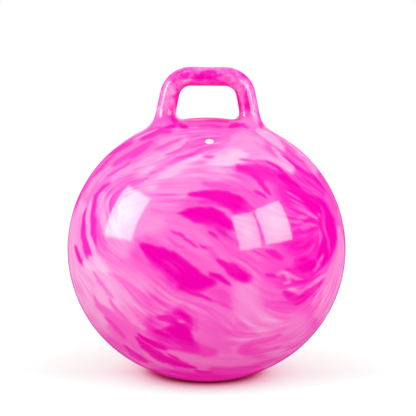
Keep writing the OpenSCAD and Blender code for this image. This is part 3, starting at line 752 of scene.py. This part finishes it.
def paintChart(streaks, reflectionWashes, chartPath, seen, seed, grainLevel):
    axis = np.linspace(-marble["reach"], marble["reach"], marble["cells"])
    gx, gy = np.meshgrid(axis, axis)
    flowX, flowY = flowField([chartPath(smoothPath(s)[0]) for s in streaks.values()], gx, gy)
    layers = [latticeNoise(gx, gy, size, seed + i) for i, size in enumerate(marble["grainSizes"])]
    layers = drawOut(layers, marble["grainRuns"], marble["runStep"], gx, gy, flowX, flowY)
    layers = [evenOut(layer) for layer in layers]
    patchSeed, swaySeed = seed + marble["seedSteps"]["patch"], seed + marble["seedSteps"]["sway"]
    patchy = smoothStep(*marble["patchFrom"], latticeNoise(gx, gy, marble["patchSize"], patchSeed))
    layers[0] *= marble["patchThreads"][0] + marble["patchThreads"][1] * patchy
    grain = evenOut(sum(layers)) * (marble["patchGrain"][0] + marble["patchGrain"][1] * patchy)
    sway = [sum(far * (latticeNoise(gx, gy, size, swaySeed + 2 * k + i) - 0.5)
                for k, (size, far) in enumerate(marble["sways"])) for i in range(2)]
    placeX, placeY = seen(gx + sway[0], gy + sway[1])
    tone = marble["base"] + grainLevel * sum(t * layer for t, layer in zip(marble["grainTones"], layers))
    for streak in streaks.values():
        layStreak(tone, grain, placeX, placeY, streak, marble["streakGrain"])
    for streak in reflectionWashes.values():
        layStreak(tone, grain, placeX, placeY, streak, 0)
    wild = smoothStep(*marble["wildFrom"], np.hypot(gx, gy))
    tone += wild * marble["wildTone"] * (layers[1] + layers[2])
    tone, = drawOut([tone], (marble["lastRun"],), marble["lastStep"], gx, gy, flowX, flowY)
    return np.clip(tone + grainLevel * marble["grainTones"][0] * layers[0], 0, 1)


def paintSkin(skin):
    mesh = skin.data
    p = np.empty(len(mesh.vertices) * 3)
    mesh.vertices.foreach_get("co", p)
    p = p.reshape(-1, 3)
    n = (p - middle) / np.linalg.norm(p - middle, axis=1, keepdims=True)
    front = paintChart(streaks, reflectionWashes, chartOfSeen, seenOf, marble["seed"], 1.0)
    tone = readChart(front, *chartOf(n))
    bx, by = chartOf(n * (1, -1, 1))
    turnCos, turnSin = wave(marble["backTurn"])
    back = readChart(front, bx * turnCos - by * turnSin, bx * turnSin + by * turnCos)
    share = smoothStep(*marble["backFrom"], n[:, 1])
    tone = tone * (1 - share) + back * share
    # the handle has its own chart, which runs into the ball's at the feet
    way, out, behind = handlePlace(p)
    girth = np.arctan2(out / mould["gripThick"], -behind / mould["gripDeep"])
    girth *= (mould["gripThick"] + mould["gripDeep"]) / 4 * mm
    handleSeed = marble["seed"] + marble["seedSteps"]["handle"]
    loop = paintChart(handleStreaks, {}, lambda path: path, lambda x, y: (x, y), handleSeed,
                      marble["handleGrain"])
    onHandle = readChart(loop, way * np.sign(p[:, 0]) * mm, girth)
    share = smoothStep(*marble["handleFrom"], ballDistance(p))
    tone = tone * (1 - share) + onHandle * share
    # the tone holds the dye, and the painted shade and highlights laid in with it
    for name, values in (("dyeAndPaintedLight", tone), ("mottle", share)):
        mesh.attributes.new(name, "FLOAT", "POINT").data.foreach_set("value", values)
    mesh.normals_split_custom_set_from_vertices(skinNormal(p).tolist())
    print("marbling painted, mean tone", round(float(tone.mean()), 3))


paintSkin(skin)


def addNode(tree, kind, values=None, **settings):
    node = tree.nodes.new(kind)
    for name, value in settings.items():
        setattr(node, name, value)
    for name, value in (values or {}).items():
        socket = node.inputs[name]
        if isinstance(value, bpy.types.NodeSocket):
            tree.links.new(value, socket)
        else:
            socket.default_value = value
    return node


# Short forms of nodes. A Mix node's sockets go by number, because its types share their names.
def reckon(tree, operation, *values):
    return addNode(tree, "ShaderNodeMath", dict(enumerate(values)), operation=operation).outputs[0]


def reckonVector(tree, operation, *values):
    return addNode(tree, "ShaderNodeVectorMath", dict(enumerate(values)), operation=operation).outputs[0]


def ranged(tree, value, fromRange, toRange=(0.0, 1.0)):
    names = ("Value", "From Min", "From Max", "To Min", "To Max")
    values = dict(zip(names, (value, *fromRange, *toRange)))
    return addNode(tree, "ShaderNodeMapRange", values).outputs["Result"]


def mixed(tree, share, first, second):
    return addNode(tree, "ShaderNodeMix", {0: share, 2: first, 3: second}).outputs[0]


def mixedColour(tree, share, first, second):
    ends = [end if isinstance(end, bpy.types.NodeSocket) else (*end, 1) for end in (first, second)]
    return addNode(tree, "ShaderNodeMix", {0: share, 6: ends[0], 7: ends[1]}, data_type="RGBA").outputs[2]


def noise(tree, place, scale, detail):
    values = {"Vector": place, "Scale": scale, "Detail": detail}
    return addNode(tree, "ShaderNodeTexNoise", values).outputs["Fac"]


def ripple(tree, place, size, detail):
    # noise on both sides of 0
    return reckon(tree, "SUBTRACT", noise(tree, place, 1 / size, detail), 0.5)


def ramped(tree, value, stops):
    ramp = addNode(tree, "ShaderNodeValToRGB", {"Fac": value})
    elements = ramp.color_ramp.elements
    while len(elements) < len(stops):
        elements.new(0.5)
    for element, (at, colour) in zip(elements, stops):
        element.position = at
        element.color = (*colour, 1)
    return ramp.outputs["Color"]


def newMaterial(name):
    material = bpy.data.materials.new(name)
    material.use_nodes = True
    tree = material.node_tree
    return material, tree, tree.nodes["Principled BSDF"]


# Moulded vinyl: a faint orange peel, and gloss that is hazier in patches
finishLook = dict(peelDetail=2.0, patchDetail=4.0, patchScale=0.08)


def makeVinylFinish():
    group = bpy.data.node_groups.new("vinylFinish", "ShaderNodeTree")
    for name, value in (("Peel Size", 0.006), ("Gloss", 0.06), ("Haze", 0.05)):
        group.interface.new_socket(name, in_out="INPUT", socket_type="NodeSocketFloat").default_value = value
    for name in ("Roughness", "Height"):
        group.interface.new_socket(name, in_out="OUTPUT", socket_type="NodeSocketFloat")
    inside = addNode(group, "NodeGroupInput").outputs
    place = addNode(group, "ShaderNodeTexCoord").outputs["Object"]
    scale = reckon(group, "DIVIDE", 1.0, inside["Peel Size"])
    peel = noise(group, place, scale, finishLook["peelDetail"])
    patchScale = reckon(group, "MULTIPLY", scale, finishLook["patchScale"])
    patches = noise(group, place, patchScale, finishLook["patchDetail"])
    haze = reckon(group, "MULTIPLY_ADD", patches, inside["Haze"], inside["Gloss"])
    addNode(group, "NodeGroupOutput", {"Roughness": haze, "Height": peel})
    return group


vinylFinish = makeVinylFinish()


def placeFinish(tree, shader, colour, look):
    values = {"Peel Size": look["peelSize"], "Gloss": look["gloss"], "Haze": look["haze"]}
    finish = addNode(tree, "ShaderNodeGroup", values, node_tree=vinylFinish).outputs
    bump = addNode(tree, "ShaderNodeBump", {"Height": finish["Height"], "Distance": look["peelDepth"]})
    tree.links.new(colour, shader.inputs["Base Color"])
    tree.links.new(finish["Roughness"], shader.inputs["Roughness"])
    tree.links.new(bump.outputs["Normal"], shader.inputs["Normal"])


# Colours in linear light, from the palest dye to the hottest
skinLook = dict(
    dyes=((0.0, (0.973, 0.550, 0.855)), (0.25, (0.99, 0.333, 0.76)), (0.5, (1.0, 0.141, 0.645)),
          (0.75, (0.97, 0.026, 0.55)), (1.0, (0.92, 0.0, 0.46))),
    threadSize=0.004, threadTone=0.05, threadDetail=3.0,
    mottleSize=0.009, mottleTone=0.9, mottleDetail=4.0,   # on the handle
    peelSize=0.007, peelDepth=0.00001, gloss=0.03, haze=0.03,
    sheen=0.5, limbSheen=0.006, limbFrom=(0.4, 0.8),      # less sheen towards the ball's outline
)


def makeMarbledVinylAndPaintedLight():
    material, tree, shader = newMaterial("marbledVinylAndPaintedLight")
    place = addNode(tree, "ShaderNodeTexCoord").outputs["Object"]
    dyeAndPaintedLight = addNode(tree, "ShaderNodeAttribute", attribute_name="dyeAndPaintedLight").outputs["Fac"]
    thread = ripple(tree, place, skinLook["threadSize"], skinLook["threadDetail"])
    tone = reckon(tree, "MULTIPLY_ADD", thread, skinLook["threadTone"], dyeAndPaintedLight)
    mottle = addNode(tree, "ShaderNodeAttribute", attribute_name="mottle").outputs["Fac"]
    cloud = ripple(tree, place, skinLook["mottleSize"], skinLook["mottleDetail"])
    amount = reckon(tree, "MULTIPLY", mottle, skinLook["mottleTone"])
    tone = reckon(tree, "MULTIPLY_ADD", cloud, amount, tone)
    placeFinish(tree, shader, ramped(tree, tone, skinLook["dyes"]), skinLook)
    facing = addNode(tree, "ShaderNodeLayerWeight", {"Blend": 0.5}).outputs["Facing"]
    sheen = ranged(tree, facing, skinLook["limbFrom"], (skinLook["sheen"], skinLook["limbSheen"]))
    tree.links.new(sheen, shader.inputs["Specular IOR Level"])
    return material


valveLook = dict(
    stops=((0.2, (0.88, 0.74, 0.77)), (0.5, (0.95, 0.88, 0.89))),
    cloudScale=300.0, cloudDetail=3.0,
    peelSize=0.0012, peelDepth=0.00002, gloss=0.25, haze=0.15,
)


def makeValveVinyl():
    material, tree, shader = newMaterial("valveVinyl")
    place = addNode(tree, "ShaderNodeTexCoord").outputs["Object"]
    cloud = noise(tree, place, valveLook["cloudScale"], valveLook["cloudDetail"])
    placeFinish(tree, shader, ramped(tree, cloud, valveLook["stops"]), valveLook)
    return material


def dress(piece, material):
    piece.data.materials.clear()
    piece.data.materials.append(material)


dress(skin, makeMarbledVinylAndPaintedLight())
valveVinyl = makeValveVinyl()
for name in ("valve_seat", "valve_plug"):
    dress(frame["nodes"][name], valveVinyl)
print("materials set")


# Studio: a white floor with a shadow painted round the ball, a backdrop, and three soft boxes placed by
# where the ball mirrors them.
# Bearings are seen from the camera: right of it, and up, in degrees.
studio = dict(
    away=1.9,
    boxColour=(1.0, 0.98, 0.52),
    # bright is the place of a box's brightest spot across and up it, edge its level one box away from there,
    # and fade the width of its dim border
    boxes=dict(left=dict(right=-75.2, up=22.8, wide=1.03, tall=1.24, power=60, aside=(0.13, 0.05),
                         bright=(0.5, 0.53), edge=0.5, fade=0.08, roll=4),
               rightNear=dict(right=33.8, up=15, wide=0.62, tall=0.98, power=22.5, aside=(-0.08, -0.02),
                              bright=(0.5, 0.5), edge=0.45, fade=0.05, roll=4),
               rightFar=dict(right=59.7, up=19.3, wide=0.87, tall=0.98, power=34, aside=(-0.13, 0.0),
                             bright=(0.5, 0.5), edge=0.6, fade=0.05, roll=0)),
    fills=dict(overhead=dict(size=2.4, at=(0, -0.6, 2.4), power=1),
               front=dict(size=1.2, at=(0, -2.0, 0.1), power=2.5)),
    worldLevel=0.89,
    sideLevel=1.5,                 # added to it at the left and right
    sidePower=4.0,
    frontLevel=0.02,               # what the gloss mirrors of the room in front
    backLevel=1.0,                 # and of the backdrop, where it starts to the back and upwards
    backColour=(1.0, 0.45, 0.7),
    backFrom=(0.85, 1.0),
    backAbove=(-0.05, 0.1),
    floorSize=12,
    floorCells=8,
    floorRough=0.9,
    floorWhite=(0.79, 0.8, 0.69),
    floorSeen=(0.475, 0.475, 0.475),   # the floor's own colour as the camera sees it, under the glow that paints the shadow
    contactShadowSeen=(0.475, 0.1, 0.22),    # and where the ball touches it: a painted contact shadow, dark crimson
    contactShadowFrom=(0.095, 0.112),
    shadeAt=(0, 0.05, 0),
    shadeSpread=(1.1, 1, 1),
    # painted shadow: the floor's glow for the camera, dim near the ball and white further out, over its real
    # shadow
    floorShadowGlow=((0.095, (0.04, 0.0, 0.0)), (0.105, (0.28, 0.05, 0.09)), (0.125, (0.48, 0.3, 0.35)),
               (0.147, (0.49, 0.42, 0.42)), (0.184, (0.5, 0.5, 0.47)), (0.25, (0.5, 0.53, 0.49)),
               (0.35, (0.53, 0.58, 0.55)), (0.6, (0.58, 0.64, 0.61))),
    frontShadowLift=(0.1, 0.38, 0.3),        # painted light added to the glow in front of the ball, clear of the contact, to lighten the painted shadow there
    frontLiftFrom=(0.03, -0.2),
    frontLiftClear=(0.11, 0.16),
    underGlow=0.6,                     # painted light: the glow that the floor near the contact gives the ball's underside
    underFrom=(0.14, 0.24),
)


def addLight(name, data, place, turn):
    light = addObject(name, data)
    light.location = place
    light.rotation_euler = turn.to_euler()
    light.visible_camera = False
    return light


def makeBox(name, box):
    rightCos, rightSin = wave(box["right"])
    upCos, upSin = wave(box["up"])
    towards = Vector(seenBack * upCos * rightCos + seenRight * upCos * rightSin + seenUp * upSin)
    data = bpy.data.lights.new(name, "AREA")
    data.shape = "RECTANGLE"
    data.size, data.size_y = box["wide"], box["tall"]
    data.energy = box["power"]
    data.color = studio["boxColour"]
    data.use_nodes = True
    tree = data.node_tree
    across = addNode(tree, "ShaderNodeNewGeometry").outputs["Parametric"]
    offset = reckonVector(tree, "SUBTRACT", across, (*box["bright"], 0))
    spot = addNode(tree, "ShaderNodeTexGradient", {"Vector": offset}, gradient_type="QUADRATIC_SPHERE")
    level = ranged(tree, spot.outputs["Fac"], (0.0, 1.0), (box["edge"], 1.0))
    places = addNode(tree, "ShaderNodeSeparateXYZ", {"Vector": across}).outputs
    for side in ("X", "Y"):
        inwards = reckon(tree, "PINGPONG", places[side], 0.5)
        level = reckon(tree, "MULTIPLY", level, ranged(tree, inwards, (0.0, box["fade"])))
    tree.links.new(level, tree.nodes["Emission"].inputs["Strength"])
    turn = towards.to_track_quat("Z", "Y") @ Quaternion((0, 0, 1), math.radians(box["roll"]))
    aside = turn @ Vector((*box["aside"], 0))
    light = addLight(name, data, Vector(middle) + towards * studio["away"] + aside, turn)
    light.visible_diffuse = False


for name, box in studio["boxes"].items():
    makeBox(name + "_softbox", box)


# wide lights that the gloss doesn't mirror
def makeFill(name, fill):
    data = bpy.data.lights.new(name, "AREA")
    data.size = fill["size"]
    data.energy = fill["power"]
    turn = (Vector(fill["at"]) - Vector(middle)).to_track_quat("Z", "Y")
    light = addLight(name, data, fill["at"], turn)
    light.visible_glossy = False


for name, fill in studio["fills"].items():
    makeFill(name + "_fill", fill)


def makeWorld():
    world = bpy.data.worlds.new("studio")
    scene.world = world
    world.use_nodes = True
    tree = world.node_tree
    tree.nodes.clear()
    rays = addNode(tree, "ShaderNodeLightPath").outputs
    seen = reckon(tree, "MAXIMUM", rays["Is Camera Ray"], rays["Is Transmission Ray"])
    # glossy rays meet a dull backdrop behind the object, and the dark room in front of it
    way = addNode(tree, "ShaderNodeTexCoord").outputs["Generated"]
    way = addNode(tree, "ShaderNodeSeparateXYZ", {"Vector": way}).outputs
    behind = ranged(tree, way["Y"], studio["backFrom"])
    above = ranged(tree, way["Z"], studio["backAbove"])
    backdrop = reckon(tree, "MULTIPLY", reckon(tree, "MULTIPLY", behind, above), studio["backLevel"])
    mirrored = reckon(tree, "MAXIMUM", backdrop, studio["frontLevel"])
    aside = reckon(tree, "POWER", way["X"], studio["sidePower"])
    ambient = reckon(tree, "MULTIPLY_ADD", aside, studio["sideLevel"], studio["worldLevel"])
    lit = mixed(tree, rays["Is Glossy Ray"], ambient, mirrored)
    level = mixed(tree, seen, lit, 1.0)
    tint = mixedColour(tree, rays["Is Glossy Ray"], (1, 1, 1), studio["backColour"])
    sky = addNode(tree, "ShaderNodeBackground", {"Color": tint, "Strength": level})
    addNode(tree, "ShaderNodeOutputWorld", {"Surface": sky.outputs[0]})


makeWorld()


def makeFloorWithPaintedShadow():
    material, tree, shader = newMaterial("floorWithPaintedShadow")
    rays = addNode(tree, "ShaderNodeLightPath").outputs
    seen = reckon(tree, "MAXIMUM", rays["Is Camera Ray"], rays["Is Glossy Ray"])
    seen = reckon(tree, "MAXIMUM", seen, rays["Is Transmission Ray"])
    place = addNode(tree, "ShaderNodeTexCoord").outputs["Object"]
    near = reckonVector(tree, "MULTIPLY", place, studio["shadeSpread"])
    away = addNode(tree, "ShaderNodeVectorMath", {0: near, 1: studio["shadeAt"]}, operation="DISTANCE")
    away = away.outputs["Value"]
    # painted shadow: the glow is dim round the ball and white further out
    paintedShadow = ramped(tree, away, studio["floorShadowGlow"])
    # painted light: a lift in front of the ball, clear of the contact, lightens the painted shadow
    frontLiftShare = addNode(tree, "ShaderNodeSeparateXYZ", {"Vector": place}).outputs["Y"]
    frontLiftShare = ranged(tree, frontLiftShare, studio["frontLiftFrom"])
    frontLiftShare = reckon(tree, "MULTIPLY", frontLiftShare, ranged(tree, away, studio["frontLiftClear"]))
    lift = addNode(tree, "ShaderNodeVectorMath", {0: studio["frontShadowLift"], "Scale": frontLiftShare}, operation="SCALE")
    paintedShadow = reckonVector(tree, "ADD", paintedShadow, lift.outputs[0])
    # painted light: near the contact the floor glows onto the ball's underside
    underLight = ranged(tree, away, studio["underFrom"], (studio["underGlow"], 0.0))
    strength = reckon(tree, "MAXIMUM", seen, underLight)
    # painted contact shadow: the camera sees the floor dark crimson where the ball touches it
    clearOfContactShadow = ranged(tree, away, studio["contactShadowFrom"])
    seenWithShadow = mixedColour(tree, clearOfContactShadow, studio["contactShadowSeen"], studio["floorSeen"])
    white = mixedColour(tree, seen, studio["floorWhite"], seenWithShadow)
    shader.inputs["Roughness"].default_value = studio["floorRough"]
    shader.inputs["Specular IOR Level"].default_value = 0.0
    tree.links.new(white, shader.inputs["Base Color"])
    tree.links.new(paintedShadow, shader.inputs["Emission Color"])
    tree.links.new(strength, shader.inputs["Emission Strength"])
    return material


def makeFloor():
    bm = bmesh.new()
    bmesh.ops.create_grid(bm, x_segments=studio["floorCells"], y_segments=studio["floorCells"],
                          size=studio["floorSize"] / 2)
    floor = addObject("floor", meshFrom(bm, "floor"))
    dress(floor, makeFloorWithPaintedShadow())
    floor.visible_glossy = False


makeFloor()
print("studio set")
